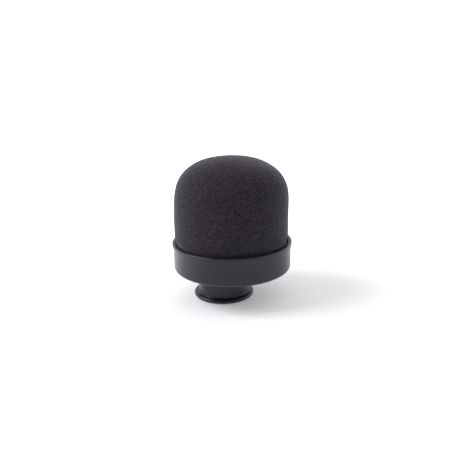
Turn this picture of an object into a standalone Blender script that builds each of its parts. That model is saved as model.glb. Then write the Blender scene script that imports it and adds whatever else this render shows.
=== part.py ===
"""A pneumatic muffler: a foam dome seated in a shallow round cup, on an eccentric push-in spigot.

Units are metres, +Z is up. The origin is on the cup's axis, in the plane of the spigot lip's underside, on
which the muffler stands. The spigot's own axis lies SPIGOT_OFFSET to the -X side of the cup's axis.
"""

from math import cos, pi, radians, sin

import bmesh
import bpy
from mathutils import Matrix, Vector

# Driving dimensions
GAP = 0.0003  # left between pieces that touch
CUT_MARGIN = 0.0010  # how far a cutter passes the face it opens
CUP_RIM_RADIUS = 0.0250
CUP_WALL_RADIUS = 0.0246
CUP_INNER_RADIUS = 0.02355
CUP_UNDERSIDE_Z = 0.0124
CUP_RIM_Z = 0.02415
FLOOR_THICKNESS = 0.0026
RIM_FLARE_HEIGHT = 0.0036
RIM_EDGE_RADIUS = 0.0005
RIM_INNER_EDGE = 0.00025
CUP_CORNER_RADIUS = 0.0010
CUP_FLOOR_FILLET = 0.00065

SPIGOT_OFFSET = 0.0038
LIP_RADIUS = 0.01275
LIP_THICKNESS = 0.0017
NECK_RADIUS = 0.01075
SOCKET_RADIUS = 0.0088
SOCKET_DEPTH = 0.0080
SOCKET_CHAMFER = 0.0006
SPIGOT_EDGE = 0.00035
SHOULDER_RADIUS = 0.0122
SHOULDER_THICKNESS = 0.0012
SPIGOT_TOP_Z = 0.0186

DIFFUSER_RADIUS = 0.0073
DIFFUSER_WALL = 0.0010
DIFFUSER_BOTTOM_Z = 0.0106
DIFFUSER_TOP_Z = 0.0410
DIFFUSER_HOLE_RADIUS = 0.0013
DIFFUSER_HOLE_ROWS = 5
DIFFUSER_HOLES = 6  # in each row
DIFFUSER_FIRST_ROW = 0.0030  # above the tube's seat in the sleeve
DIFFUSER_LAST_ROW = 0.0045  # below the tube's top
SLEEVE_RADIUS = 0.0120
SCREEN_THICKNESS = 0.0004
END_CAP_THICKNESS = 0.0015
END_CAP_EDGE = 0.0004
PLUG_LENGTH = 0.0020

CAGE_RADIUS = 0.0180
CAGE_WALL = 0.0012
CAGE_PLATE_RADIUS = 0.0229
CAGE_PLATE_THICKNESS = 0.0013
CAGE_SHOULDER_Z = 0.0360
CAGE_TOP_Z = 0.0523
CAGE_WINDOWS = 10  # in each row
# bottom, top, the radius that each window is cut from, and width, for each row
CAGE_WINDOW_ROWS = ((0.0225, 0.0340, 0.0115, 0.0056), (0.0362, 0.0492, 0.0080, 0.0045))

SCREW_CIRCLE_RADIUS = 0.0153
SCREW_ANGLES = (0.0, 90.0, 270.0)  # the open side of the eccentric port
SCREW_RADIUS = 0.0011
SCREW_HEAD_RADIUS = 0.0021
SCREW_BOSS_RADIUS = 0.0026
SCREW_POINT_RADIUS = 0.0005
SCREW_POINT_LENGTH = 0.0012
SCREW_SLOT = (0.0024, 0.0005, 0.0010)

FOAM_RADIUS = 0.0237
FOAM_SKIRT_RADIUS = 0.0232
FOAM_SHOULDER_Z = 0.0383
FOAM_TOP_Z = 0.0594
FOAM_TUCK_HEIGHT = 0.0016  # above the rim, where the foam starts to narrow to its skirt
FOAM_EDGE = 0.0006
DOME_HEIGHT_POWER = 2.90
DOME_RADIUS_POWER = 2.29

# Sizes that follow from them
FLOOR_TOP_Z = CUP_UNDERSIDE_Z + FLOOR_THICKNESS
BARREL_RADIUS = NECK_RADIUS - 0.00005
FLOOR_HOLE_RADIUS = BARREL_RADIUS + 0.00035
SHOULDER_TOP_Z = CUP_UNDERSIDE_Z - GAP
WASHER_BOTTOM_Z = FLOOR_TOP_Z + GAP
WASHER_THICKNESS = 0.0005
CLIP_BOTTOM_Z = WASHER_BOTTOM_Z + WASHER_THICKNESS + GAP
CLIP_THICKNESS = 0.0010
CLIP_GROOVE_RADIUS = 0.0097
CLIP_RADIUS = 0.0124
CLIP_MOUTH = (0.0100, 0.0070, 0.0040)
WASHER_RADIUS = CLIP_RADIUS + 0.0001
SEAL_SECTION_RADIUS = 0.0006
SEAL_Z = (CUP_UNDERSIDE_Z + FLOOR_TOP_Z) / 2
SEAL_GROOVE_RADIUS = 0.00915
SEAL_RADIUS = (SEAL_GROOVE_RADIUS + FLOOR_HOLE_RADIUS) / 2
SEAL_GROOVE_WIDTH = 2 * SEAL_SECTION_RADIUS + 2 * GAP
CAGE_PLATE_Z = FLOOR_TOP_Z + GAP
CAGE_PLATE_TOP_Z = CAGE_PLATE_Z + CAGE_PLATE_THICKNESS
CAGE_PLATE_HOLE_RADIUS = CLIP_RADIUS + 0.0005
FOAM_BOTTOM_Z = CAGE_PLATE_TOP_Z + GAP
FOAM_CAVITY_RADIUS = CAGE_RADIUS + GAP
SLEEVE_BOTTOM_Z = SPIGOT_TOP_Z + GAP
SPIGOT_AXIS = Vector((-SPIGOT_OFFSET, 0.0, 0.0))
SCREW_HOLE_RADIUS = SCREW_RADIUS + GAP
SCREW_RECESS_DEPTH = 0.0014
SCREW_RECESS_RADIUS = SCREW_HEAD_RADIUS + 0.0004
SCREW_HEAD_THICKNESS = 0.0009
SCREW_HEAD_EDGE = 0.0004
SCREW_HEAD_Z = CUP_UNDERSIDE_Z + 0.0002
SCREW_TIP_Z = 0.0198
SCREW_BOSS_TOP_Z = 0.0215

LARGE_STEPS = 56  # facets round the cup and the foam
SMALL_STEPS = 40  # facets round everything else
MERGE = 0.00001


# Scene and materials

def clear_scene():
    for obj in list(bpy.data.objects):
        bpy.data.objects.remove(obj, do_unlink=True)
    for group in list(bpy.data.collections):
        bpy.data.collections.remove(group)


def new_collection(name, hidden=False):
    group = bpy.data.collections.new(name)
    bpy.context.scene.collection.children.link(group)
    group.hide_render = hidden
    return group


def material(name, colour, roughness, metallic=0.0):
    made = bpy.data.materials.new(name)
    made.use_nodes = True
    shader = made.node_tree.nodes["Principled BSDF"]
    shader.inputs["Base Color"].default_value = (*colour, 1.0)
    shader.inputs["Roughness"].default_value = roughness
    shader.inputs["Metallic"].default_value = metallic
    made.diffuse_color = (*colour, 1.0)
    return made


# Shape helpers

def arc(centre, radius, start, end, count):
    """Points of an arc in the (radius, height) plane, angles in degrees from the outward direction."""
    angles = [radians(start + (end - start) * i / (count - 1)) for i in range(count)]
    return [(centre[0] + radius * cos(a), centre[1] + radius * sin(a)) for a in angles]


def dome(radius, shoulder_z, top_z, count):
    """Points of the dome's outline from its crown, on the axis, down to its shoulder."""
    points = []
    for i in range(count):
        u = pi / 2 * (1 - i / (count - 1))
        height = sin(u) ** (2 / DOME_HEIGHT_POWER)
        spread = max(0.0, cos(u)) ** (2 / DOME_RADIUS_POWER) if i else 0.0
        points.append((radius * spread, shoulder_z + (top_z - shoulder_z) * height))
    return points


def finish(obj, mat, group):
    obj.data.materials.clear()
    obj.data.materials.append(mat)
    group.objects.link(obj)
    return obj


def turned(name, profile, steps, mat, group, axis=(0.0, 0.0, 0.0), closed=True):
    """A solid of revolution. The profile runs down the outer side first; it is open only where it meets the axis."""
    mesh = bpy.data.meshes.new(name)
    count = len(profile)
    edges = [(i, (i + 1) % count) for i in range(count if closed else count - 1)]
    mesh.from_pydata([(r, 0.0, z) for r, z in profile], edges, [])
    obj = bpy.data.objects.new(name, mesh)
    obj.location = axis
    screw = obj.modifiers.new("turn", "SCREW")
    screw.angle = 2 * pi
    screw.steps = steps
    screw.render_steps = steps
    screw.use_merge_vertices = True
    screw.merge_threshold = MERGE
    screw.use_smooth_shade = True
    return finish(obj, mat, group)


def solid(name, build, mat, group):
    """A mesh object whose geometry the given function makes in a bmesh."""
    mesh = bpy.data.meshes.new(name)
    made = bmesh.new()
    build(made)
    made.to_mesh(mesh)
    made.free()
    obj = bpy.data.objects.new(name, mesh)
    return finish(obj, mat, group)


def add_cylinder(made, centre, radius, low, high, sides=16):
    """An upright cylinder between two heights."""
    place = Matrix.Translation((centre[0], centre[1], (low + high) / 2))
    bmesh.ops.create_cone(
        made, cap_ends=True, segments=sides, radius1=radius, radius2=radius, depth=high - low, matrix=place
    )


def add_box(made, size, place):
    bmesh.ops.create_cube(made, size=1.0, matrix=place @ Matrix.Diagonal((*size, 1.0)))


def boolean(obj, other, operation):
    step = obj.modifiers.new(operation.lower(), "BOOLEAN")
    step.object = other
    step.operation = operation
    step.solver = "EXACT"


def cut(obj, build, cutters):
    """Takes the built shape, one or more separate bodies, away from obj."""
    tool = solid(obj.name + "_cutter", build, cutter_material, cutters)
    tool.hide_render = True
    tool.display_type = "WIRE"
    boolean(obj, tool, "DIFFERENCE")


def screw_places():
    return [
        (SCREW_CIRCLE_RADIUS * cos(radians(a)), SCREW_CIRCLE_RADIUS * sin(radians(a))) for a in SCREW_ANGLES
    ]


# Sub-parts

def cup_housing(group, cutters, mat):
    """The shallow cup: flat floor, thin upright wall that flares a little into a rounded rim."""
    rim_flat_inner = CUP_INNER_RADIUS + RIM_INNER_EDGE
    rim_flat_z = CUP_RIM_Z - RIM_EDGE_RADIUS
    profile = [(0.0, FLOOR_TOP_Z)]
    fillet = (CUP_INNER_RADIUS - CUP_FLOOR_FILLET, FLOOR_TOP_Z + CUP_FLOOR_FILLET)
    profile += reversed(arc(fillet, CUP_FLOOR_FILLET, 0, -90, 4))
    profile += [(CUP_INNER_RADIUS, CUP_RIM_Z - RIM_INNER_EDGE), (rim_flat_inner, CUP_RIM_Z)]
    profile += arc((CUP_RIM_RADIUS - RIM_EDGE_RADIUS, rim_flat_z), RIM_EDGE_RADIUS, 90, 0, 4)
    for i in range(1, 6):
        down = i / 5
        ease = (1 + cos(pi * down)) / 2
        radius = CUP_WALL_RADIUS + (CUP_RIM_RADIUS - CUP_WALL_RADIUS) * ease
        profile.append((radius, rim_flat_z - RIM_FLARE_HEIGHT * down))
    corner = (CUP_WALL_RADIUS - CUP_CORNER_RADIUS, CUP_UNDERSIDE_Z + CUP_CORNER_RADIUS)
    profile += arc(corner, CUP_CORNER_RADIUS, 0, -90, 5)
    profile.append((0.0, CUP_UNDERSIDE_Z))
    cup = turned("cup_housing", profile, LARGE_STEPS, mat, group, closed=False)

    def through_holes(made):
        low, high = CUP_UNDERSIDE_Z - CUT_MARGIN, FLOOR_TOP_Z + CUT_MARGIN
        add_cylinder(made, SPIGOT_AXIS, FLOOR_HOLE_RADIUS, low, high, SMALL_STEPS)
        for place in screw_places():
            add_cylinder(made, place, SCREW_HOLE_RADIUS, low, high)

    def head_recesses(made):
        low, high = CUP_UNDERSIDE_Z - CUT_MARGIN, CUP_UNDERSIDE_Z + SCREW_RECESS_DEPTH
        for place in screw_places():
            add_cylinder(made, place, SCREW_RECESS_RADIUS, low, high, 20)

    cut(cup, through_holes, cutters)
    cut(cup, head_recesses, cutters)
    return cup


def connector_spigot(group, mat):
    """The push-in neck: end lip, neck, shoulder under the cup, seal groove, clip groove, diffuser seat."""
    edge = SPIGOT_EDGE
    seal_low = SEAL_Z - SEAL_GROOVE_WIDTH / 2
    seal_high = SEAL_Z + SEAL_GROOVE_WIDTH / 2
    clip_low = CLIP_BOTTOM_Z - GAP
    clip_high = CLIP_BOTTOM_Z + CLIP_THICKNESS + GAP
    seat_radius = DIFFUSER_RADIUS + GAP
    seat_z = DIFFUSER_BOTTOM_Z - GAP
    profile = [
        (BARREL_RADIUS - edge, SPIGOT_TOP_Z),
        (BARREL_RADIUS, SPIGOT_TOP_Z - edge),
        (BARREL_RADIUS, clip_high),
        (CLIP_GROOVE_RADIUS, clip_high),
        (CLIP_GROOVE_RADIUS, clip_low),
        (BARREL_RADIUS, clip_low),
        (BARREL_RADIUS, seal_high),
        (SEAL_GROOVE_RADIUS, seal_high),
        (SEAL_GROOVE_RADIUS, seal_low),
        (BARREL_RADIUS, seal_low),
        (BARREL_RADIUS, SHOULDER_TOP_Z),
        (SHOULDER_RADIUS, SHOULDER_TOP_Z),
        (SHOULDER_RADIUS, SHOULDER_TOP_Z - SHOULDER_THICKNESS),
        (NECK_RADIUS, SHOULDER_TOP_Z - SHOULDER_THICKNESS),
        (NECK_RADIUS, LIP_THICKNESS),
    ]
    profile += arc((LIP_RADIUS - edge, LIP_THICKNESS - edge), edge, 90, 0, 3)
    profile += arc((LIP_RADIUS - edge, edge), edge, 0, -90, 3)
    profile += [
        (SOCKET_RADIUS + SOCKET_CHAMFER, 0.0),
        (SOCKET_RADIUS, SOCKET_CHAMFER),
        (SOCKET_RADIUS, SOCKET_DEPTH),
        (DIFFUSER_RADIUS - DIFFUSER_WALL, SOCKET_DEPTH),
        (DIFFUSER_RADIUS - DIFFUSER_WALL, seat_z),
        (seat_radius, seat_z),
        (seat_radius, SPIGOT_TOP_Z),
    ]
    return turned("connector_spigot", profile, SMALL_STEPS, mat, group, SPIGOT_AXIS)


def spigot_seal_ring(group, mat):
    profile = arc((SEAL_RADIUS, SEAL_Z), SEAL_SECTION_RADIUS, 90, -225, 8)
    return turned("spigot_seal_ring", profile, SMALL_STEPS, mat, group, SPIGOT_AXIS)


def flat_ring(name, inner, outer, low, high, mat, group):
    profile = [(outer, high), (outer, low), (inner, low), (inner, high)]
    return turned(name, profile, SMALL_STEPS, mat, group, SPIGOT_AXIS)


def spigot_thrust_washer(group, mat):
    top = WASHER_BOTTOM_Z + WASHER_THICKNESS
    return flat_ring("spigot_thrust_washer", FLOOR_HOLE_RADIUS, WASHER_RADIUS, WASHER_BOTTOM_Z, top, mat, group)


def spigot_retaining_clip(group, cutters, mat):
    """An open spring clip in the spigot's upper groove; its mouth points to the +X side."""
    top = CLIP_BOTTOM_Z + CLIP_THICKNESS
    clip = flat_ring("spigot_retaining_clip", CLIP_GROOVE_RADIUS + GAP, CLIP_RADIUS, CLIP_BOTTOM_Z, top, mat, group)

    def mouth(made):
        centre = SPIGOT_AXIS + Vector((CLIP_RADIUS, 0.0, CLIP_BOTTOM_Z))
        add_box(made, CLIP_MOUTH, Matrix.Translation(centre))

    cut(clip, mouth, cutters)
    return clip


def diffuser_tube(group, cutters, mat):
    """The perforated tube that spreads the exhaust into the absorber; its rows of holes are staggered."""
    inner = DIFFUSER_RADIUS - DIFFUSER_WALL
    profile = [
        (DIFFUSER_RADIUS, DIFFUSER_TOP_Z),
        (DIFFUSER_RADIUS, DIFFUSER_BOTTOM_Z),
        (inner, DIFFUSER_BOTTOM_Z),
        (inner, DIFFUSER_TOP_Z),
    ]
    tube = turned("diffuser_tube", profile, 36, mat, group, SPIGOT_AXIS)
    low, high = SLEEVE_BOTTOM_Z + DIFFUSER_FIRST_ROW, DIFFUSER_TOP_Z - DIFFUSER_LAST_ROW

    def holes(made):
        for row in range(DIFFUSER_HOLE_ROWS):
            z = low + (high - low) * row / (DIFFUSER_HOLE_ROWS - 1)
            for k in range(DIFFUSER_HOLES):
                turn = Matrix.Rotation(2 * pi * (k + (row % 2) / 2 + 0.05) / DIFFUSER_HOLES, 4, "Z")
                middle = DIFFUSER_RADIUS - DIFFUSER_WALL / 2
                out = Matrix.Translation((middle, 0, z)) @ Matrix.Rotation(pi / 2, 4, "Y")
                bmesh.ops.create_cone(
                    made,
                    cap_ends=True,
                    segments=8,
                    radius1=DIFFUSER_HOLE_RADIUS,
                    radius2=DIFFUSER_HOLE_RADIUS,
                    depth=DIFFUSER_WALL + 2 * CUT_MARGIN,
                    matrix=Matrix.Translation(SPIGOT_AXIS) @ turn @ out,
                )

    cut(tube, holes, cutters)
    return tube


def diffuser_end_cap(group, mat):
    """The plug that closes the diffuser tube and holds the sleeves down with its rim."""
    rim_low = DIFFUSER_TOP_Z + GAP
    plug_radius = DIFFUSER_RADIUS - DIFFUSER_WALL - GAP
    plug_low = rim_low - PLUG_LENGTH
    top, radius = rim_low + END_CAP_THICKNESS, SLEEVE_RADIUS - END_CAP_EDGE
    profile = [
        (0.0, top),
        (radius - END_CAP_EDGE, top),
        (radius, top - END_CAP_EDGE),
        (radius, rim_low),
        (plug_radius, rim_low),
        (plug_radius, plug_low),
        (0.0, plug_low),
    ]
    return turned("diffuser_end_cap", profile, 36, mat, group, SPIGOT_AXIS, closed=False)


def wire_mesh_screen(group, mat):
    inner = DIFFUSER_RADIUS + GAP
    return flat_ring(
        "wire_mesh_screen", inner, inner + SCREEN_THICKNESS, SLEEVE_BOTTOM_Z, DIFFUSER_TOP_Z, mat, group
    )


def absorber_sleeve(group, mat):
    inner = DIFFUSER_RADIUS + SCREEN_THICKNESS + 2 * GAP
    return flat_ring("absorber_sleeve", inner, SLEEVE_RADIUS, SLEEVE_BOTTOM_Z, DIFFUSER_TOP_Z, mat, group)


def support_cage(group, cutters, mat):
    """The slotted basket under the foam, with its base plate and the bosses that its screws bite into."""
    outer = dome(CAGE_RADIUS, CAGE_SHOULDER_Z, CAGE_TOP_Z, 8)
    inner = dome(CAGE_RADIUS - CAGE_WALL, CAGE_SHOULDER_Z, CAGE_TOP_Z - CAGE_WALL, 8)
    plate = [
        (CAGE_RADIUS, CAGE_PLATE_TOP_Z),
        (CAGE_PLATE_RADIUS, CAGE_PLATE_TOP_Z),
        (CAGE_PLATE_RADIUS, CAGE_PLATE_Z),
        (0.0, CAGE_PLATE_Z),
    ]
    profile = outer + plate
    cage = turned("support_cage", profile, SMALL_STEPS, mat, group, closed=False)
    hollow_profile = inner + [(CAGE_RADIUS - CAGE_WALL, CAGE_PLATE_TOP_Z), (0.0, CAGE_PLATE_TOP_Z)]
    hollow = turned("support_cage_hollow_cutter", hollow_profile, SMALL_STEPS, cutter_material, cutters, closed=False)
    hollow.hide_render = True
    hollow.display_type = "WIRE"
    boolean(cage, hollow, "DIFFERENCE")

    def bosses(made):
        for place in screw_places():
            low = (CAGE_PLATE_Z + CAGE_PLATE_TOP_Z) / 2
            add_cylinder(made, place, SCREW_BOSS_RADIUS, low, SCREW_BOSS_TOP_Z, 20)

    added = solid("support_cage_bosses", bosses, cutter_material, cutters)
    added.hide_render = True
    added.display_type = "WIRE"
    boolean(cage, added, "UNION")

    def holes(made):
        low = CAGE_PLATE_Z - CUT_MARGIN
        add_cylinder(made, SPIGOT_AXIS, CAGE_PLATE_HOLE_RADIUS, low, CAGE_PLATE_TOP_Z + CUT_MARGIN, SMALL_STEPS)
        for place in screw_places():
            add_cylinder(made, place, SCREW_HOLE_RADIUS, low, SCREW_TIP_Z + GAP)

    def windows(made):
        for low, high, inner, width in CAGE_WINDOW_ROWS:
            size = (CAGE_RADIUS + CUT_MARGIN - inner, width, high - low)
            middle = Matrix.Translation((inner + size[0] / 2, 0, (low + high) / 2))
            for k in range(CAGE_WINDOWS):
                add_box(made, size, Matrix.Rotation(2 * pi * k / CAGE_WINDOWS, 4, "Z") @ middle)

    cut(cage, holes, cutters)
    cut(cage, windows, cutters)
    return cage


def cage_screw(number, place, group, cutters, mat):
    """A self-tapping screw, head down in its recess under the cup, with a crossed slot in the head."""
    head_top = SCREW_HEAD_Z + SCREW_HEAD_THICKNESS
    profile = [
        (0.0, SCREW_TIP_Z),
        (SCREW_POINT_RADIUS, SCREW_TIP_Z),
        (SCREW_RADIUS, SCREW_TIP_Z - SCREW_POINT_LENGTH),
        (SCREW_RADIUS, head_top),
        (SCREW_HEAD_RADIUS, head_top),
        (SCREW_HEAD_RADIUS, SCREW_HEAD_Z + SCREW_HEAD_EDGE),
        (SCREW_HEAD_RADIUS - SCREW_HEAD_EDGE, SCREW_HEAD_Z),
        (0.0, SCREW_HEAD_Z),
    ]
    screw = turned(f"cage_screw_{number}", profile, 16, mat, group, (*place, 0.0), closed=False)
    for turn in (0, pi / 2):

        def slot(made):
            add_box(made, SCREW_SLOT, Matrix.Translation((*place, SCREW_HEAD_Z)) @ Matrix.Rotation(turn, 4, "Z"))

        cut(screw, slot, cutters)
    return screw


def foam_dome(group, mat):
    """The filter and silencing foam: a thick dome, its skirt tucked into the cup."""
    outer = dome(FOAM_RADIUS, FOAM_SHOULDER_Z, FOAM_TOP_Z, 13)
    cavity = dome(FOAM_CAVITY_RADIUS, CAGE_SHOULDER_Z, CAGE_TOP_Z + GAP, 8)
    skirt = [
        (FOAM_RADIUS, CUP_RIM_Z + FOAM_TUCK_HEIGHT),
        (FOAM_SKIRT_RADIUS, CUP_RIM_Z),
        (FOAM_SKIRT_RADIUS, FOAM_BOTTOM_Z + FOAM_EDGE),
        (FOAM_SKIRT_RADIUS - FOAM_EDGE, FOAM_BOTTOM_Z),
        (FOAM_CAVITY_RADIUS, FOAM_BOTTOM_Z),
    ]
    profile = outer + skirt + cavity[::-1]
    return turned("foam_dome", profile, LARGE_STEPS, mat, group, closed=False)


clear_scene()
parts = new_collection("pneumatic_muffler")
cutters = new_collection("cutters", hidden=True)

cutter_material = material("cutter", (0.8, 0.2, 0.2), 0.8)
black_plastic = material("black_satin_plastic", (0.030, 0.030, 0.034), 0.38)
acetal = material("white_acetal", (0.70, 0.70, 0.66), 0.45)
spring_steel = material("spring_steel", (0.42, 0.42, 0.43), 0.35, 1.0)
aluminium = material("aluminium", (0.62, 0.63, 0.64), 0.38, 1.0)
rubber = material("black_rubber", (0.022, 0.022, 0.022), 0.75)
felt = material("grey_felt", (0.16, 0.16, 0.17), 0.95)
foam = material("black_foam", (0.030, 0.027, 0.031), 0.95)

cup_housing(parts, cutters, black_plastic)
connector_spigot(parts, black_plastic)
spigot_seal_ring(parts, rubber)
spigot_thrust_washer(parts, acetal)
spigot_retaining_clip(parts, cutters, spring_steel)
diffuser_tube(parts, cutters, aluminium)
diffuser_end_cap(parts, black_plastic)
wire_mesh_screen(parts, spring_steel)
absorber_sleeve(parts, felt)
support_cage(parts, cutters, black_plastic)
for number, place in enumerate(screw_places(), 1):
    cage_screw(number, place, parts, cutters, spring_steel)
foam_dome(parts, foam)
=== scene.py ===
"""The looks of the pneumatic muffler: foam, moulded plastic, metal and felt, built round the CAD frame."""

from math import cos, inf, pi, radians, sin

import bmesh
import bpy
import numpy as np
from mathutils import Matrix, Vector


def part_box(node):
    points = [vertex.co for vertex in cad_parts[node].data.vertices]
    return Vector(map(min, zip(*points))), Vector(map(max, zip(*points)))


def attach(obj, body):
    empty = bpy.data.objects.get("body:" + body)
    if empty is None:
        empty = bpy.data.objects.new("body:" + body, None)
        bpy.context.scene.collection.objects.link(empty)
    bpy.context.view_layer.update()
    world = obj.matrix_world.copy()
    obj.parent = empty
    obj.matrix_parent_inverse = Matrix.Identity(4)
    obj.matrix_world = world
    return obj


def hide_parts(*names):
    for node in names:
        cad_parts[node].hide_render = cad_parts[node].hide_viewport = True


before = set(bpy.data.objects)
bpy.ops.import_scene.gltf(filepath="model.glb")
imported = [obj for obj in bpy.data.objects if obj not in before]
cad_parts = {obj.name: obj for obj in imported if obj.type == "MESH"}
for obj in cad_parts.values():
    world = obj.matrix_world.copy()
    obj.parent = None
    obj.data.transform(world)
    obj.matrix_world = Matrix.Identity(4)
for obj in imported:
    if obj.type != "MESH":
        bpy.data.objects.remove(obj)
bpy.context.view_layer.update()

# Places and sizes, in metres, from the frame
foam_low, foam_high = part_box("foam_dome")
cup_low, cup_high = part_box("cup_housing")
spigot_low, spigot_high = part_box("connector_spigot")
cage_low, cage_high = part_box("support_cage")

CUT_MARGIN = 0.001  # how far a tool reaches past the wall that it cuts
MERGE_DISTANCE = 0.000003  # points this near each other after a cut become one
SHARP_ANGLE = radians(32)

FOAM_RADIUS = (foam_high.x - foam_low.x) / 2
FOAM_TOP_Z = foam_high.z
FOAM_BOTTOM_Z = foam_low.z
FOAM_SHOULDER_Z = 0.0383
FOAM_SKIRT_RADIUS = FOAM_RADIUS - 0.0005
FOAM_SKIRT_EDGE = 0.0006
DOME_HEIGHT_POWER = 2.90
DOME_RADIUS_POWER = 2.29

CUP_RIM_RADIUS = (cup_high.x - cup_low.x) / 2 + 0.00010
CUP_RIM_Z = cup_high.z
CUP_UNDERSIDE_Z = cup_low.z
CUP_WALL_RADIUS = CUP_RIM_RADIUS - 0.00045
CUP_INNER_RADIUS = CUP_RIM_RADIUS - 0.00155
CUP_FLOOR_TOP_Z = CUP_UNDERSIDE_Z + 0.0026
CUP_FLOOR_FILLET = 0.00065
CUP_CORNER_RADIUS = 0.00135
RIM_FLARE_HEIGHT = 0.0036
RIM_EDGE_RADIUS = 0.0004
RIM_INNER_EDGE = 0.0003
FLOOR_HOLE_RADIUS = 0.01105

SPIGOT_AXIS_X = (spigot_high.x + spigot_low.x) / 2
LIP_RADIUS = (spigot_high.x - spigot_low.x) / 2
LIP_THICKNESS = 0.0017
LIP_EDGE_RADIUS = 0.00075
LIP_FILLET = 0.0004
NECK_RADIUS = 0.01075
COLLAR_RADIUS = 0.0122
COLLAR_Z = (0.0109, 0.0121)
BARREL_RADIUS = 0.0107
BARREL_EDGE = 0.00035
BARREL_BORE_RADIUS = 0.0076
SEAL_GROOVE_RADIUS = 0.00915
SEAL_GROOVE_Z = (0.0128, 0.0146)
CLIP_GROOVE_RADIUS = 0.0097
CLIP_GROOVE_Z = (0.0158, 0.0174)
SOCKET_RADIUS = 0.0088
SOCKET_CHAMFER = 0.0006
SOCKET_DEPTH = 0.0080
DUCT_RADIUS = 0.0063
DUCT_TOP_Z = 0.0103

CAGE_RADIUS = 0.0180
CAGE_WALL = 0.0012
CAGE_EDGE = 0.0002
CAGE_PLATE_RADIUS = (cage_high.x - cage_low.x) / 2
CAGE_PLATE_Z = cage_low.z
CAGE_PLATE_TOP_Z = CAGE_PLATE_Z + 0.0013
CAGE_PLATE_HOLE_RADIUS = 0.0129
CAGE_SHOULDER_Z = 0.0360
CAGE_TOP_Z = cage_high.z
CAGE_WINDOWS = 10
CAGE_WINDOW_CORNER = 0.0008
# bottom, top, the radius that each window is cut from, and width, for each row
CAGE_WINDOW_ROWS = ((0.0225, 0.0340, 0.0115, 0.0056), (0.0362, 0.0492, 0.0080, 0.0045))
BOSS_RADIUS = 0.0026
BOSS_ROOT_Z = CAGE_PLATE_Z + 0.0006
BOSS_TOP_Z = 0.0215
BOSS_ROOF = 0.0014
CAVITY_GAP = 0.0003  # between the cage and the foam
CAVITY_EDGE = 0.0003
FOAM_CAVITY_RADIUS = CAGE_RADIUS + CAVITY_GAP

SCREW_NODES = ("cage_screw_1", "cage_screw_2", "cage_screw_3")
SCREW_HOLE_RADIUS = 0.0014
SCREW_RECESS_RADIUS = 0.0025
SCREW_RECESS_DEPTH = 0.0014
SCREW_SHANK_RADIUS = 0.0011
SCREW_HEAD_HEIGHT = 0.0009
SCREW_HEAD_EDGE = 0.0004
SCREW_POINT_RADIUS = 0.0005
SCREW_POINT_LENGTH = 0.0012
SCREW_SLOT = (0.0024, 0.0005, 0.0010)  # length, width, and height across the head's face

# The foam's mesh: the step round each ring, and between rings where that isn't set by ROW_SPACING
ROW_SPACING = 0.87  # of the step round the ring, which makes the triangles even
FOAM_MESH_STEP = 0.000289
FOAM_SKIRT_STEP = 0.00042
FOAM_BOTTOM_STEP = 0.0006
FOAM_BOTTOM_ROWS = 0.0005
FOAM_CAVITY_STEP = 0.0007
FOAM_CAVITY_ROWS = 0.0006

# The foam's cells and its softness
FOAM_CELL = 0.00057
FOAM_CELL_ORIGIN = (-0.1, -0.2, -0.3)  # far enough off that every cell's whole numbers are positive
FOAM_PORE_DEPTH = 0.00014
FOAM_PORE_SLOPE = (0.04, 0.42)  # a pore's side starts and ends this far from the cell wall, in cells
FOAM_PORE_SHALLOWEST = 0.35  # the shallowest pore, as a share of the full depth
FOAM_WAVE = 0.00010
FOAM_WAVE_LENGTH = 0.0100
FOAM_WAVE_HEIGHTS = (-0.0002, 0.0012)  # from the rim, where the waves grow in
FOAM_LEAN_START = (-0.0016, -0.0004)  # from the rim, where the lean grows in
FOAM_LEAN_HEIGHTS = (0.0340, 0.0460, 0.0594)
FOAM_LEAN = (-0.00024, 0.00018, -0.00013)  # sideways, at each of those heights
FOAM_SLUMP = 0.00018
FOAM_TUCK_HEIGHT = 0.0024  # above the rim, where the foam starts to narrow to its skirt
FOAM_TUCK_DEPTH = 0.0002  # below the rim, where it has narrowed

CAMERA_DISTANCE = 0.2136
CAMERA_ELEVATION = radians(16.65)
CAMERA_ROLL = radians(-1.1)
CAMERA_TARGET = Vector((-0.00115, 0.0, 0.0287))
CAMERA_LENS_MM = 40.0
CAMERA_SENSOR_MM = 36.0

# The room grows brighter from front to back, times a level that changes from left to right
ROOM_FRONT = (-0.88, 0.16)  # place along ROOM_DIRECTION, and brightness
ROOM_BACK = (0.07, 1.42)
ROOM_DIRECTION = (0.0, 1.0, 0.20)
ROOM_LEVELS = ((0.0, 0.97), (0.35, 0.58), (0.70, 0.64), (1.0, 1.25))  # place from left to right, and level
ROOM_SEEN = 1.05  # its brightness to the camera
SUN_DIRECTION = (0.71, 0.045, -0.70)
SUN_STRENGTH = 1.9
SUN_ANGLE = radians(30.0)

FLOOR_HALF = 6.0
FLOOR_DROP = 0.00005
# The floor glows more to the left and behind; the distance that counts is the larger of these two
FLOOR_GLOW_DIRECTIONS = ((-0.85, 0.35, 0.0), (0.14, 0.48, 0.0))
FLOOR_GLOW_NEAR = (0.010, 0.225)  # distance, and emission
FLOOR_GLOW_FAR = (0.085, 0.85)


# Node helpers

def new_material(name):
    made = bpy.data.materials.new(name)
    made.use_nodes = True
    nodes = made.node_tree.nodes
    return made, made.node_tree, nodes["Principled BSDF"]


def node(tree, kind, **settings):
    made = tree.nodes.new(kind)
    for key, value in settings.items():
        setattr(made, key, value)
    return made


def ramp(tree, source, stops):
    made = tree.nodes.new("ShaderNodeValToRGB")
    elements = made.color_ramp.elements
    while len(elements) < len(stops):
        elements.new(0.5)
    for element, (position, colour) in zip(elements, stops):
        element.position = position
        element.color = (*colour, 1.0)
    tree.links.new(source, made.inputs["Fac"])
    return made


def grey(value):
    return (value, value, value)


def remap(tree, source, low, high):
    """A 0-to-1 value stretched to run from low to high."""
    return rise(tree, source, (0.0, low), (1.0, high), "LINEAR")


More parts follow.
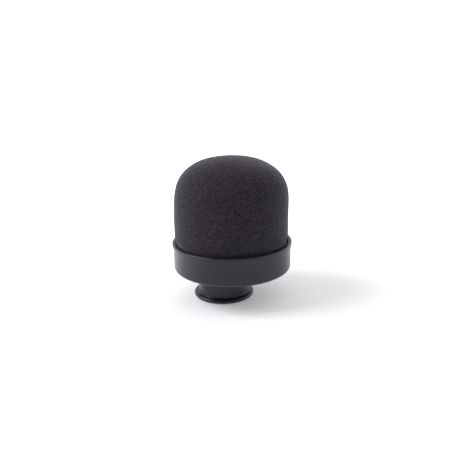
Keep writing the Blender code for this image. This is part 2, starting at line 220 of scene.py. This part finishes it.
def rise(tree, source, start, end, shape="SMOOTHSTEP"):
    """A value that goes from start to end, each given as the source's value and the result there."""
    made = node(tree, "ShaderNodeMapRange", interpolation_type=shape)
    made.inputs["From Min"].default_value = start[0]
    made.inputs["From Max"].default_value = end[0]
    made.inputs["To Min"].default_value = start[1]
    made.inputs["To Max"].default_value = end[1]
    tree.links.new(source, made.inputs["Value"])
    return made.outputs["Result"]


def along(tree, source, direction):
    """How far a place lies in a direction."""
    made = node(tree, "ShaderNodeVectorMath", operation="DOT_PRODUCT")
    made.inputs[1].default_value = direction
    tree.links.new(source, made.inputs[0])
    return made.outputs["Value"]


def object_noise(tree, scale, detail=3.0, roughness=0.5):
    place = node(tree, "ShaderNodeTexCoord")
    made = node(tree, "ShaderNodeTexNoise")
    made.inputs["Scale"].default_value = scale
    made.inputs["Detail"].default_value = detail
    made.inputs["Roughness"].default_value = roughness
    tree.links.new(place.outputs["Object"], made.inputs["Vector"])
    return made.outputs["Fac"]


def bump(tree, shader, height, distance, strength):
    made = node(tree, "ShaderNodeBump")
    made.inputs["Distance"].default_value = distance
    made.inputs["Strength"].default_value = strength
    tree.links.new(height, made.inputs["Height"])
    tree.links.new(made.outputs["Normal"], shader.inputs["Normal"])


def mix(tree, blend_type, weight):
    """A colour mix whose weight is a number or a node's output."""
    made = node(tree, "ShaderNodeMixRGB", blend_type=blend_type)
    if isinstance(weight, float):
        made.inputs["Fac"].default_value = weight
    else:
        tree.links.new(weight, made.inputs["Fac"])
    return made


# Materials

def satin_plastic(name, dark, light, roughness, specular):
    """Moulded plastic with a fine spark-eroded texture, faint flow marks and a little handling dust."""
    made, tree, shader = new_material(name)
    flow = object_noise(tree, scale=90.0, detail=3.0)
    grain = object_noise(tree, scale=5200.0, detail=2.0)
    dust = object_noise(tree, scale=1400.0, detail=4.0, roughness=0.65)
    colour = ramp(tree, flow, [(0.30, dark), (0.72, light)])
    specks = ramp(tree, dust, [(0.66, grey(0.0)), (0.80, grey(1.0))])
    weight = node(tree, "ShaderNodeMath", operation="MULTIPLY")
    weight.inputs[1].default_value = 0.25
    tree.links.new(specks.outputs["Color"], weight.inputs[0])
    mixed = mix(tree, "MIX", weight.outputs["Value"])
    tree.links.new(colour.outputs["Color"], mixed.inputs["Color1"])
    mixed.inputs["Color2"].default_value = (*[c * 1.8 for c in light], 1.0)
    tree.links.new(mixed.outputs["Color"], shader.inputs["Base Color"])
    tree.links.new(remap(tree, flow, *roughness), shader.inputs["Roughness"])
    shader.inputs["Specular IOR Level"].default_value = specular
    shader.inputs["Specular Tint"].default_value = (0.95, 0.93, 1.0, 1.0)
    bump(tree, shader, grain, distance=0.000012, strength=0.6)
    return made


def open_cell_foam(name):
    """Black open-cell foam: pale struts round pores darkened with painted shade, deepest at their bottoms,
    with a soft sheen where it is seen edge on.
    """
    made, tree, shader = new_material(name)
    # The colour darkens from strut to pore bottom by each point's pit depth: painted shade in the pits.
    strut, wall, pore_shade = (0.033, 0.0273, 0.0368), (0.0180, 0.0148, 0.0201), (0.0085, 0.0070, 0.0095)
    depth = node(tree, "ShaderNodeAttribute", attribute_name="pore_shade")
    cells = ramp(tree, depth.outputs["Fac"], [(0.0, strut), (0.35, wall), (1.0, pore_shade)])
    blotch = object_noise(tree, scale=160.0, detail=4.0, roughness=0.6)
    tone = ramp(tree, blotch, [(0.30, grey(0.88)), (0.70, grey(1.12))])
    mixed = mix(tree, "MULTIPLY", 1.0)
    tree.links.new(cells.outputs["Color"], mixed.inputs["Color1"])
    tree.links.new(tone.outputs["Color"], mixed.inputs["Color2"])
    tree.links.new(mixed.outputs["Color"], shader.inputs["Base Color"])
    fine = object_noise(tree, scale=6500.0, detail=2.0, roughness=0.6)
    tree.links.new(remap(tree, fine, 0.80, 1.0), shader.inputs["Roughness"])
    shader.inputs["Specular IOR Level"].default_value = 0.15
    shader.inputs["Sheen Weight"].default_value = 0.32
    shader.inputs["Sheen Roughness"].default_value = 0.35
    shader.inputs["Sheen Tint"].default_value = (0.96, 0.90, 1.0, 1.0)
    bump(tree, shader, fine, distance=0.00006, strength=0.8)
    return made


def brushed_metal(name, colour, roughness):
    """Bare metal with faint stains and fine scratches."""
    made, tree, shader = new_material(name)
    stain = object_noise(tree, scale=700.0, detail=4.0, roughness=0.6)
    scratch = object_noise(tree, scale=9000.0, detail=2.0)
    tone = ramp(tree, stain, [(0.3, tuple(c * 0.82 for c in colour)), (0.7, colour)])
    tree.links.new(tone.outputs["Color"], shader.inputs["Base Color"])
    tree.links.new(remap(tree, scratch, *roughness), shader.inputs["Roughness"])
    shader.inputs["Metallic"].default_value = 1.0
    bump(tree, shader, scratch, distance=0.000006, strength=0.4)
    return made


def felt(name, dark, light):
    """Pressed fibre, rough and mottled."""
    made, tree, shader = new_material(name)
    fibre = object_noise(tree, scale=3800.0, detail=5.0, roughness=0.75)
    tone = ramp(tree, fibre, [(0.30, dark), (0.72, light)])
    tree.links.new(tone.outputs["Color"], shader.inputs["Base Color"])
    tree.links.new(remap(tree, fibre, 0.85, 1.0), shader.inputs["Roughness"])
    shader.inputs["Sheen Weight"].default_value = 0.4
    bump(tree, shader, fibre, distance=0.00025, strength=1.0)
    return made


def rubber(name):
    """Dull black rubber."""
    made, tree, shader = new_material(name)
    grain = object_noise(tree, scale=4200.0, detail=3.0)
    tone = ramp(tree, grain, [(0.3, grey(0.012)), (0.7, grey(0.030))])
    tree.links.new(tone.outputs["Color"], shader.inputs["Base Color"])
    tree.links.new(remap(tree, grain, 0.6, 0.85), shader.inputs["Roughness"])
    bump(tree, shader, grain, distance=0.00002, strength=0.6)
    return made


# Mesh helpers

def arc(centre, radius, start, end, count):
    angles = [radians(start + (end - start) * i / (count - 1)) for i in range(count)]
    return [(centre[0] + radius * cos(a), centre[1] + radius * sin(a)) for a in angles]


def dome(radius, shoulder_z, top_z, count):
    """The dome's outline from its crown, on the axis, down to its shoulder, as (radius, height) points."""
    points = []
    for i in range(count):
        angle = pi / 2 * (1 - i / (count - 1))
        height = sin(angle) ** (2 / DOME_HEIGHT_POWER)
        spread = max(0.0, cos(angle)) ** (2 / DOME_RADIUS_POWER) if i else 0.0
        points.append((radius * spread, shoulder_z + (top_z - shoulder_z) * height))
    return points


def resampled(outline, step):
    """Points along the outline about one step apart, ends included."""
    line = np.array(outline, float)
    lengths = np.r_[0.0, np.cumsum(np.hypot(*np.diff(line, axis=0).T))]
    count = max(2, int(round(lengths[-1] / step)) + 1)
    places = np.linspace(0.0, lengths[-1], count)
    return np.c_[np.interp(places, lengths, line[:, 0]), np.interp(places, lengths, line[:, 1])]


def mesh_object(name, points, faces, smooth=True):
    mesh = bpy.data.meshes.new(name)
    mesh.from_pydata([tuple(p) for p in points], [], faces)
    mesh.validate()
    if smooth:
        mesh.shade_smooth()
    obj = bpy.data.objects.new(name, mesh)
    bpy.context.scene.collection.objects.link(obj)
    return obj


def lathe(name, profile, steps, centre=(0.0, 0.0)):
    """A smooth turned solid, from an outline that starts and ends on the axis or from a closed loop."""
    on_axis = profile[0][0] == 0.0
    rings, points = [], []
    # Half a step round, so that no edge lies on the lines through the screw holes
    turns = [2 * pi * (k + 0.5) / steps for k in range(steps)]
    for r, z in profile:
        if r == 0.0:
            rings.append([len(points)])
            points.append((*centre, z))
            continue
        rings.append(list(range(len(points), len(points) + steps)))
        points += [(centre[0] + r * cos(turn), centre[1] + r * sin(turn), z) for turn in turns]
    pairs = list(zip(rings, rings[1:]))
    if not on_axis:
        pairs.append((rings[-1], rings[0]))
    faces = []
    for upper, lower in pairs:
        for k in range(steps):
            n = (k + 1) % steps
            if len(upper) == 1:
                faces.append((upper[0], lower[k], lower[n]))
            elif len(lower) == 1:
                faces.append((upper[k], lower[0], upper[n]))
            else:
                faces.append((upper[k], lower[k], lower[n], upper[n]))
    obj = mesh_object(name, points, faces)
    obj.data.set_sharp_from_angle(angle=SHARP_ANGLE)
    return obj


def carved(obj, tools, operation="DIFFERENCE"):
    """obj with the tools' shapes cut out, or joined on; the tools are removed."""
    for tool in tools:
        step = obj.modifiers.new("cut", "BOOLEAN")
        step.object = tool
        step.operation = operation
        step.solver = "EXACT"
    graph = bpy.context.evaluated_depsgraph_get()
    obj.data = bpy.data.meshes.new_from_object(obj.evaluated_get(graph))
    obj.modifiers.clear()
    made = bmesh.new()
    made.from_mesh(obj.data)
    bmesh.ops.remove_doubles(made, verts=made.verts, dist=MERGE_DISTANCE)
    bmesh.ops.dissolve_degenerate(made, edges=made.edges, dist=MERGE_DISTANCE)
    bmesh.ops.triangulate(made, faces=[face for face in made.faces if len(face.verts) > 4])
    made.to_mesh(obj.data)
    made.free()
    for tool in tools:
        bpy.data.objects.remove(tool, do_unlink=True)
    obj.data.set_sharp_from_angle(angle=SHARP_ANGLE)
    return obj


def tool_object(made):
    """The bmesh as an object for carved(); it frees the bmesh."""
    mesh = bpy.data.meshes.new("tool")
    made.to_mesh(mesh)
    made.free()
    obj = bpy.data.objects.new("tool", mesh)
    bpy.context.scene.collection.objects.link(obj)
    return obj


def cylinder(x, y, radius, low, high, sides):
    made = bmesh.new()
    place = Matrix.Translation((x, y, (low + high) / 2))
    size = {"radius1": radius, "radius2": radius, "depth": high - low}
    bmesh.ops.create_cone(made, cap_ends=True, segments=sides, matrix=place, **size)
    return tool_object(made)


def block(centre, size):
    made = bmesh.new()
    bmesh.ops.create_cube(made, size=1.0, matrix=Matrix.Translation(centre) @ Matrix.Diagonal((*size, 1.0)))
    return tool_object(made)


def windows(rows, count, outer, corner):
    """One tool of round-cornered slots that point outwards, evenly spaced, a row at each height."""
    points, faces = [], []
    for low, high, inner, width in rows:
        side = width / 2 - corner
        outline = []
        for y, z, start in (
            (side, high - corner, 0),
            (-side, high - corner, 90),
            (-side, low + corner, 180),
            (side, low + corner, 270),
        ):
            outline += arc((y, z), corner, start, start + 90, 7)
        size = len(outline)
        for k in range(count):
            turn = 2 * pi * k / count
            first = len(points)
            for x in (inner, outer):
                for y, z in outline:
                    points.append((x * cos(turn) - y * sin(turn), x * sin(turn) + y * cos(turn), z))
            near = list(range(first, first + size))
            far = list(range(first + size, first + 2 * size))
            faces += [tuple(reversed(near)), tuple(far)]
            for i in range(size):
                n = (i + 1) % size
                faces.append((near[i], near[n], far[n], far[i]))
    return mesh_object("tool", points, faces, smooth=False)


# Foam

def ring_surface(outline, steps):
    """Rings of points along a turned outline, each with its own step, and the triangles between them."""
    points, rings, faces = [], [], []
    for i, ((r, z), step) in enumerate(zip(outline, steps)):
        if r < 1e-6:
            rings.append((len(points), 1, 0.0))
            points.append((0.0, 0.0, z))
            continue
        count = max(6, int(round(2 * pi * r / step)))
        turn = (i % 2) * pi / count
        rings.append((len(points), count, turn))
        for k in range(count):
            angle = turn + 2 * pi * k / count
            points.append((r * cos(angle), r * sin(angle), z))
    for upper, lower in zip(rings, rings[1:]):
        faces += band(upper, lower)
    return np.array(points), faces, [first for first, _, _ in rings]


def next_angle(ring, k):
    """The angle of the ring's point after number k, or infinity past the end of the ring."""
    _, count, turn = ring
    if count == 1 or k >= count:
        return inf
    return turn + 2 * pi * (k + 1) / count


def band(upper, lower):
    """Triangles between two rings, each given as its first point, its count and its first angle."""
    faces = []
    i = j = 0
    while True:
        next_upper, next_lower = next_angle(upper, i), next_angle(lower, j)
        if next_upper == next_lower == inf:
            return faces
        above, below = upper[0] + i % upper[1], lower[0] + j % lower[1]
        if next_upper < next_lower:
            i += 1
            faces.append((above, below, upper[0] + i % upper[1]))
        else:
            j += 1
            faces.append((above, below, lower[0] + j % lower[1]))


def cell_hash(cells, salt):
    """A fixed pseudo-random number from 0 to 1 for each whole-number cell."""
    x, y, z = cells.T
    mixed = x * 73856093 ^ y * 19349663 ^ z * 83492791 ^ salt * 2654435761
    mixed = (mixed ^ (mixed >> 13)) * 1274126177
    mixed = mixed ^ (mixed >> 16)
    return (mixed & 0xFFFFFF) / float(0x1000000)


def cell_pattern(points, size):
    """For each point, the distance from its nearest cell wall, in cells, and its cell's own random number."""
    place = points / size
    base = np.floor(place).astype(np.int64)
    first = np.full(len(points), 9.0)
    second = np.full(len(points), 9.0)
    owner = np.zeros(len(points))
    for dx in (-1, 0, 1):
        for dy in (-1, 0, 1):
            for dz in (-1, 0, 1):
                cell = base + np.array((dx, dy, dz))
                centre = cell + np.c_[cell_hash(cell, 1), cell_hash(cell, 2), cell_hash(cell, 3)]
                distance = np.sqrt(((place - centre) ** 2).sum(1))
                nearer = distance < first
                second = np.where(nearer, first, np.minimum(second, distance))
                owner = np.where(nearer, cell_hash(cell, 4), owner)
                first = np.where(nearer, distance, first)
    return second - first, owner


def waves(points):
    """A slow, fixed unevenness from -1 to 1, as of a hand-trimmed soft piece."""
    x, y, z = (points / FOAM_WAVE_LENGTH).T
    return (
        np.sin(1.7 * x + 0.9 * z + 0.4) * np.cos(1.3 * y - 0.6 * z + 1.1)
        + 0.5 * np.sin(3.1 * y + 2.3 * z + 2.0) * np.cos(2.7 * x + 0.7)
    ) / 1.5


def smoothstep(value, low, high):
    share = np.clip((value - low) / (high - low), 0.0, 1.0)
    return share * share * (3 - 2 * share)


def foam_sections():
    """The foam's outline from its crown round to its cavity's, as (rings, step round each ring) pairs."""
    exposed = dome(FOAM_RADIUS, FOAM_SHOULDER_Z, FOAM_TOP_Z, 90)
    tuck_z = CUP_RIM_Z + FOAM_TUCK_HEIGHT
    for i in range(13):
        down = i / 12
        ease = (1 - cos(pi * down)) / 2
        radius = FOAM_RADIUS + (FOAM_SKIRT_RADIUS - FOAM_RADIUS) * ease
        exposed.append((radius, tuck_z - (FOAM_TUCK_HEIGHT + FOAM_TUCK_DEPTH) * down))
    skirt = [
        exposed[-1],
        (FOAM_SKIRT_RADIUS, FOAM_BOTTOM_Z + FOAM_SKIRT_EDGE),
        (FOAM_SKIRT_RADIUS - FOAM_SKIRT_EDGE, FOAM_BOTTOM_Z),
    ]
    bottom = [
        skirt[-1],
        (FOAM_CAVITY_RADIUS + CAVITY_EDGE, FOAM_BOTTOM_Z),
        (FOAM_CAVITY_RADIUS, FOAM_BOTTOM_Z + CAVITY_EDGE),
    ]
    cavity = [bottom[-1]] + dome(FOAM_CAVITY_RADIUS, CAGE_SHOULDER_Z, CAGE_TOP_Z + CAVITY_GAP, 30)[::-1]
    return [
        (resampled(exposed, FOAM_MESH_STEP * ROW_SPACING), FOAM_MESH_STEP),
        (resampled(skirt, FOAM_SKIRT_STEP * ROW_SPACING)[1:], FOAM_SKIRT_STEP),
        (resampled(bottom, FOAM_BOTTOM_ROWS)[1:], FOAM_BOTTOM_STEP),
        (resampled(cavity, FOAM_CAVITY_ROWS)[1:], FOAM_CAVITY_STEP),
    ]


def foam_normals(points):
    """The direction that the smooth foam faces at each outside point."""
    outward = points * np.array((1.0, 1.0, 0.0))
    outward /= np.linalg.norm(outward, axis=1).clip(1e-9)[:, None]
    rise_above = np.clip(points[:, 2] - FOAM_SHOULDER_Z, 0.0, None) / (FOAM_TOP_Z - FOAM_SHOULDER_Z)
    flatness = (rise_above ** 2)[:, None]
    normal = outward * np.sqrt(1 - flatness.clip(0, 1)) + np.array((0.0, 0.0, 1.0)) * flatness
    return normal / np.linalg.norm(normal, axis=1).clip(1e-9)[:, None]


def foam_dome(mat):
    """The foam: open cells outside, a skirt tucked under the rim, and a plain cavity that fits the cage."""
    sections = foam_sections()
    outline = np.vstack([rings for rings, _ in sections])
    steps = [step for rings, step in sections for _ in rings]
    points, faces, ring_starts = ring_surface(outline, steps)
    outside = np.arange(len(points)) < ring_starts[len(sections[0][0]) + len(sections[1][0])]
    pattern, owner = cell_pattern(points - np.array(FOAM_CELL_ORIGIN), FOAM_CELL)
    depth_share = FOAM_PORE_SHALLOWEST + (1 - FOAM_PORE_SHALLOWEST) * owner
    pit = smoothstep(pattern, *FOAM_PORE_SLOPE) * depth_share

    height = points[:, 2]
    exposed = smoothstep(height - CUP_RIM_Z, *FOAM_WAVE_HEIGHTS)
    loose = smoothstep(height - CUP_RIM_Z, *FOAM_LEAN_START)
    depth = FOAM_PORE_DEPTH * pit - FOAM_WAVE * waves(points) * exposed
    moved = points - foam_normals(points) * depth[:, None]
    moved[:, 0] += np.interp(height, FOAM_LEAN_HEIGHTS, FOAM_LEAN) * loose
    moved[:, 2] -= FOAM_SLUMP * smoothstep(height, FOAM_SHOULDER_Z, FOAM_TOP_Z)
    obj = mesh_object("foam_dome_surface", np.where(outside[:, None], moved, points), faces)
    # Each point's pit depth, which the foam's material turns into painted shade in the pores.
    attribute = obj.data.attributes.new("pore_shade", "FLOAT", "POINT")
    attribute.data.foreach_set("value", pit.astype(np.float32))
    obj.data.materials.append(mat)
    return obj


# Moulded pieces

def screw_place(name):
    low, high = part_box(name)
    return (low.x + high.x) / 2, (low.y + high.y) / 2


def painted(obj, mat):
    obj.data.materials.clear()
    obj.data.materials.append(mat)
    return obj


def cup(mat):
    """The round cup, with its flared rim, the neck's hole and the screws' holes and recesses."""
    fillet = (CUP_INNER_RADIUS - CUP_FLOOR_FILLET, CUP_FLOOR_TOP_Z + CUP_FLOOR_FILLET)
    inner_edge = (CUP_INNER_RADIUS + RIM_INNER_EDGE, CUP_RIM_Z - RIM_INNER_EDGE)
    outer_edge = (CUP_RIM_RADIUS - RIM_EDGE_RADIUS, CUP_RIM_Z - RIM_EDGE_RADIUS)
    corner = (CUP_WALL_RADIUS - CUP_CORNER_RADIUS, CUP_UNDERSIDE_Z + CUP_CORNER_RADIUS)
    profile = [(0.0, CUP_FLOOR_TOP_Z)]
    profile += arc(fillet, CUP_FLOOR_FILLET, -90, 0, 8)
    profile += arc(inner_edge, RIM_INNER_EDGE, 180, 90, 6)
    profile += arc(outer_edge, RIM_EDGE_RADIUS, 90, 0, 10)
    for i in range(1, 15):
        down = i / 14
        flare = (CUP_RIM_RADIUS - CUP_WALL_RADIUS) * (1 + cos(pi * down)) / 2
        profile.append((CUP_WALL_RADIUS + flare, outer_edge[1] - RIM_FLARE_HEIGHT * down))
    profile += arc(corner, CUP_CORNER_RADIUS, 0, -90, 12)
    profile.append((0.0, CUP_UNDERSIDE_Z))
    low, high = CUP_UNDERSIDE_Z - CUT_MARGIN, CUP_FLOOR_TOP_Z + CUT_MARGIN
    tools = [cylinder(SPIGOT_AXIS_X, 0.0, FLOOR_HOLE_RADIUS, low, high, 128)]
    for name in SCREW_NODES:
        x, y = screw_place(name)
        tools.append(cylinder(x, y, SCREW_HOLE_RADIUS, CUP_UNDERSIDE_Z + CUT_MARGIN, high, 48))
        tools.append(cylinder(x, y, SCREW_RECESS_RADIUS, low, CUP_UNDERSIDE_Z + SCREW_RECESS_DEPTH, 64))
    return painted(carved(lathe("cup_shell", profile, 240), tools), mat)


def groove(radius, span):
    """A groove in the barrel, from its top down."""
    return [(BARREL_RADIUS, span[1]), (radius, span[1]), (radius, span[0]), (BARREL_RADIUS, span[0])]


def spigot(mat):
    """The neck with its end lip, collar and socket, and the barrel that turns in the cup's floor."""
    lip_edge = LIP_RADIUS - LIP_EDGE_RADIUS
    profile = [(BARREL_RADIUS - BARREL_EDGE, spigot_high.z), (BARREL_RADIUS, spigot_high.z - BARREL_EDGE)]
    profile += groove(CLIP_GROOVE_RADIUS, CLIP_GROOVE_Z) + groove(SEAL_GROOVE_RADIUS, SEAL_GROOVE_Z)
    profile += [(BARREL_RADIUS, COLLAR_Z[1]), (COLLAR_RADIUS, COLLAR_Z[1])]
    profile += [(COLLAR_RADIUS, COLLAR_Z[0]), (NECK_RADIUS, COLLAR_Z[0])]
    profile += arc((NECK_RADIUS + LIP_FILLET, LIP_THICKNESS + LIP_FILLET), LIP_FILLET, 180, 270, 9)
    profile += arc((lip_edge, LIP_THICKNESS - LIP_EDGE_RADIUS), LIP_EDGE_RADIUS, 90, 0, 8)
    profile += arc((lip_edge, LIP_EDGE_RADIUS), LIP_EDGE_RADIUS, 0, -90, 8)
    profile += [(SOCKET_RADIUS + SOCKET_CHAMFER, 0.0), (SOCKET_RADIUS, SOCKET_CHAMFER)]
    profile += [(SOCKET_RADIUS, SOCKET_DEPTH), (DUCT_RADIUS, SOCKET_DEPTH), (DUCT_RADIUS, DUCT_TOP_Z)]
    profile += [(BARREL_BORE_RADIUS, DUCT_TOP_Z), (BARREL_BORE_RADIUS, spigot_high.z)]
    return painted(lathe("spigot_neck", profile, 200, (SPIGOT_AXIS_X, 0.0)), mat)


def cage(mat):
    """The slotted basket under the foam, with its base plate and screw bosses."""
    inner = CAGE_RADIUS - CAGE_WALL
    low, high = CAGE_PLATE_Z - CUT_MARGIN, CAGE_PLATE_TOP_Z + CUT_MARGIN
    screws = [screw_place(name) for name in SCREW_NODES]
    shell = dome(CAGE_RADIUS, CAGE_SHOULDER_Z, CAGE_TOP_Z, 24)
    shell += [(CAGE_RADIUS, CAGE_PLATE_TOP_Z), (CAGE_PLATE_RADIUS - CAGE_EDGE, CAGE_PLATE_TOP_Z)]
    shell += [(CAGE_PLATE_RADIUS, CAGE_PLATE_TOP_Z - CAGE_EDGE), (CAGE_PLATE_RADIUS, CAGE_PLATE_Z)]
    shell.append((0.0, CAGE_PLATE_Z))
    hollow = dome(inner, CAGE_SHOULDER_Z, CAGE_TOP_Z - CAGE_WALL, 24)
    hollow += [(inner, CAGE_PLATE_TOP_Z), (0.0, CAGE_PLATE_TOP_Z)]
    obj = carved(lathe("cage_basket", shell, 160), [lathe("tool", hollow, 160)])
    carved(obj, [cylinder(x, y, BOSS_RADIUS, BOSS_ROOT_Z, BOSS_TOP_Z, 48) for x, y in screws], "UNION")
    tools = [cylinder(SPIGOT_AXIS_X, 0.0, CAGE_PLATE_HOLE_RADIUS, low, high, 128)]
    tools += [cylinder(x, y, SCREW_HOLE_RADIUS, low, BOSS_TOP_Z - BOSS_ROOF, 32) for x, y in screws]
    tools.append(windows(CAGE_WINDOW_ROWS, CAGE_WINDOWS, CAGE_RADIUS + CUT_MARGIN, CAGE_WINDOW_CORNER))
    return painted(carved(obj, tools), mat)


def screw(name, mat):
    """A cross-head screw; its flat head faces down."""
    low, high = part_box(name)
    radius = (high.x - low.x) / 2
    head_z = low.z + SCREW_HEAD_HEIGHT
    edge = (radius - SCREW_HEAD_EDGE, low.z + SCREW_HEAD_EDGE)
    profile = [(0.0, high.z), (SCREW_POINT_RADIUS, high.z)]
    profile += [(SCREW_SHANK_RADIUS, high.z - SCREW_POINT_LENGTH), (SCREW_SHANK_RADIUS, head_z)]
    profile += [(radius, head_z), (radius, edge[1])]
    profile += arc(edge, SCREW_HEAD_EDGE, -15, -90, 6)
    profile.append((0.0, low.z))
    x, y = screw_place(name)
    obj = lathe(name + "_turned", profile, 48, (x, y))
    length, width, height = SCREW_SLOT
    carved(obj, [block((x, y, low.z), (length, width, height))])
    carved(obj, [block((x, y, low.z), (width, length, height))])
    return painted(obj, mat)


# Light, floor and camera

def sun():
    """One large soft lamp, halfway up on the left."""
    light = bpy.data.lights.new("key", "SUN")
    light.energy = SUN_STRENGTH
    light.angle = SUN_ANGLE
    obj = bpy.data.objects.new("key", light)
    obj.rotation_euler = Vector(SUN_DIRECTION).to_track_quat("-Z", "Y").to_euler()
    bpy.context.scene.collection.objects.link(obj)


def room():
    """A white room, brightest behind the object and dimmer in front, which the camera sees as plain white."""
    world = bpy.data.worlds.new("studio")
    bpy.context.scene.world = world
    world.use_nodes = True
    tree = world.node_tree
    background = tree.nodes["Background"]
    background.inputs["Color"].default_value = (1.0, 1.0, 1.0, 1.0)
    place = node(tree, "ShaderNodeTexCoord").outputs["Generated"]
    depth = rise(tree, along(tree, place, ROOM_DIRECTION), ROOM_FRONT, ROOM_BACK)
    across = rise(tree, along(tree, place, (1.0, 0.0, 0.0)), (-1.0, 0.0), (1.0, 1.0), "LINEAR")
    side = ramp(tree, across, [(position, grey(level)) for position, level in ROOM_LEVELS])
    both = node(tree, "ShaderNodeMath", operation="MULTIPLY")
    tree.links.new(depth, both.inputs[0])
    tree.links.new(side.outputs["Color"], both.inputs[1])
    rays = node(tree, "ShaderNodeLightPath")
    choose = node(tree, "ShaderNodeMix", data_type="FLOAT")
    choose.inputs["B"].default_value = ROOM_SEEN
    tree.links.new(rays.outputs["Is Camera Ray"], choose.inputs["Factor"])
    tree.links.new(both.outputs["Value"], choose.inputs["A"])
    tree.links.new(choose.outputs["Result"], background.inputs["Strength"])


def floor():
    """A pale floor that glows a little, and more where it lies further to the left or behind."""
    half = FLOOR_HALF
    corners = [(-half, -half, 0), (half, -half, 0), (half, half, 0), (-half, half, 0)]
    obj = mesh_object("floor", corners, [(0, 1, 2, 3)], smooth=False)
    made, tree, shader = new_material("floor_white")
    shader.inputs["Base Color"].default_value = (0.766, 0.762, 0.787, 1.0)
    shader.inputs["Roughness"].default_value = 0.6
    shader.inputs["Specular IOR Level"].default_value = 0.2
    shader.inputs["Emission Color"].default_value = (0.985, 0.98, 1.0, 1.0)
    place = node(tree, "ShaderNodeTexCoord").outputs["Object"]
    reach = node(tree, "ShaderNodeMath", operation="MAXIMUM")
    for slot, direction in enumerate(FLOOR_GLOW_DIRECTIONS):
        tree.links.new(along(tree, place, direction), reach.inputs[slot])
    glow = rise(tree, reach.outputs["Value"], FLOOR_GLOW_NEAR, FLOOR_GLOW_FAR)
    tree.links.new(glow, shader.inputs["Emission Strength"])
    painted(obj, made)
    obj.location.z = -FLOOR_DROP


def camera():
    back = Vector((0.0, -cos(CAMERA_ELEVATION), sin(CAMERA_ELEVATION)))
    right = Vector((1.0, 0.0, 0.0))
    up = right.cross(-back)
    rolled_right = right * cos(CAMERA_ROLL) + up * sin(CAMERA_ROLL)
    rolled_up = up * cos(CAMERA_ROLL) - right * sin(CAMERA_ROLL)
    turn = Matrix((rolled_right, rolled_up, back)).transposed().to_4x4()
    lens = bpy.data.cameras.new("camera")
    lens.lens = CAMERA_LENS_MM
    lens.sensor_width = CAMERA_SENSOR_MM
    lens.clip_start = 0.01
    lens.clip_end = 20.0
    obj = bpy.data.objects.new("camera", lens)
    obj.matrix_world = Matrix.Translation(CAMERA_TARGET + back * CAMERA_DISTANCE) @ turn
    bpy.context.scene.collection.objects.link(obj)
    bpy.context.scene.camera = obj


# The scene

camera()
room()
sun()
floor()

black_plastic = satin_plastic(
    "black_plastic",
    dark=(0.0165, 0.0130, 0.0210),
    light=(0.0205, 0.0165, 0.0265),
    roughness=(0.27, 0.35),
    specular=0.335,
)
spigot_plastic = satin_plastic(
    "spigot_plastic",
    dark=(0.0170, 0.0135, 0.0220),
    light=(0.0210, 0.0170, 0.0280),
    roughness=(0.22, 0.30),
    specular=0.42,
)
acetal = satin_plastic(
    "acetal",
    dark=(0.66, 0.66, 0.62),
    light=(0.74, 0.74, 0.70),
    roughness=(0.40, 0.50),
    specular=0.5,
)
steel = brushed_metal("spring_steel", (0.42, 0.42, 0.43), roughness=(0.28, 0.42))
aluminium = brushed_metal("aluminium", (0.62, 0.63, 0.64), roughness=(0.28, 0.42))
foam = open_cell_foam("black_foam")

foam_piece = foam_dome(foam)
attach(foam_piece, "foam")
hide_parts("foam_dome")

cup_piece = cup(black_plastic)
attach(cup_piece, "cup")
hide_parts("cup_housing")

spigot_piece = spigot(spigot_plastic)
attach(spigot_piece, "spigot")
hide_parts("connector_spigot")

cage_piece = cage(black_plastic)
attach(cage_piece, "cup")
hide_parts("support_cage")

for name in SCREW_NODES:
    screw_piece = screw(name, steel)
    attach(screw_piece, "cup")
    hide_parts(name)

# The CAD nodes that stay get finished materials
for name, mat in (
    ("diffuser_end_cap", black_plastic),
    ("diffuser_tube", aluminium),
    ("wire_mesh_screen", steel),
    ("spigot_retaining_clip", steel),
    ("absorber_sleeve", felt("grey_felt", (0.10, 0.10, 0.11), (0.24, 0.24, 0.25))),
    ("spigot_seal_ring", rubber("black_rubber")),
    ("spigot_thrust_washer", acetal),
):
    painted(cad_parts[name], mat)

bpy.context.scene.view_settings.view_transform = "Standard"
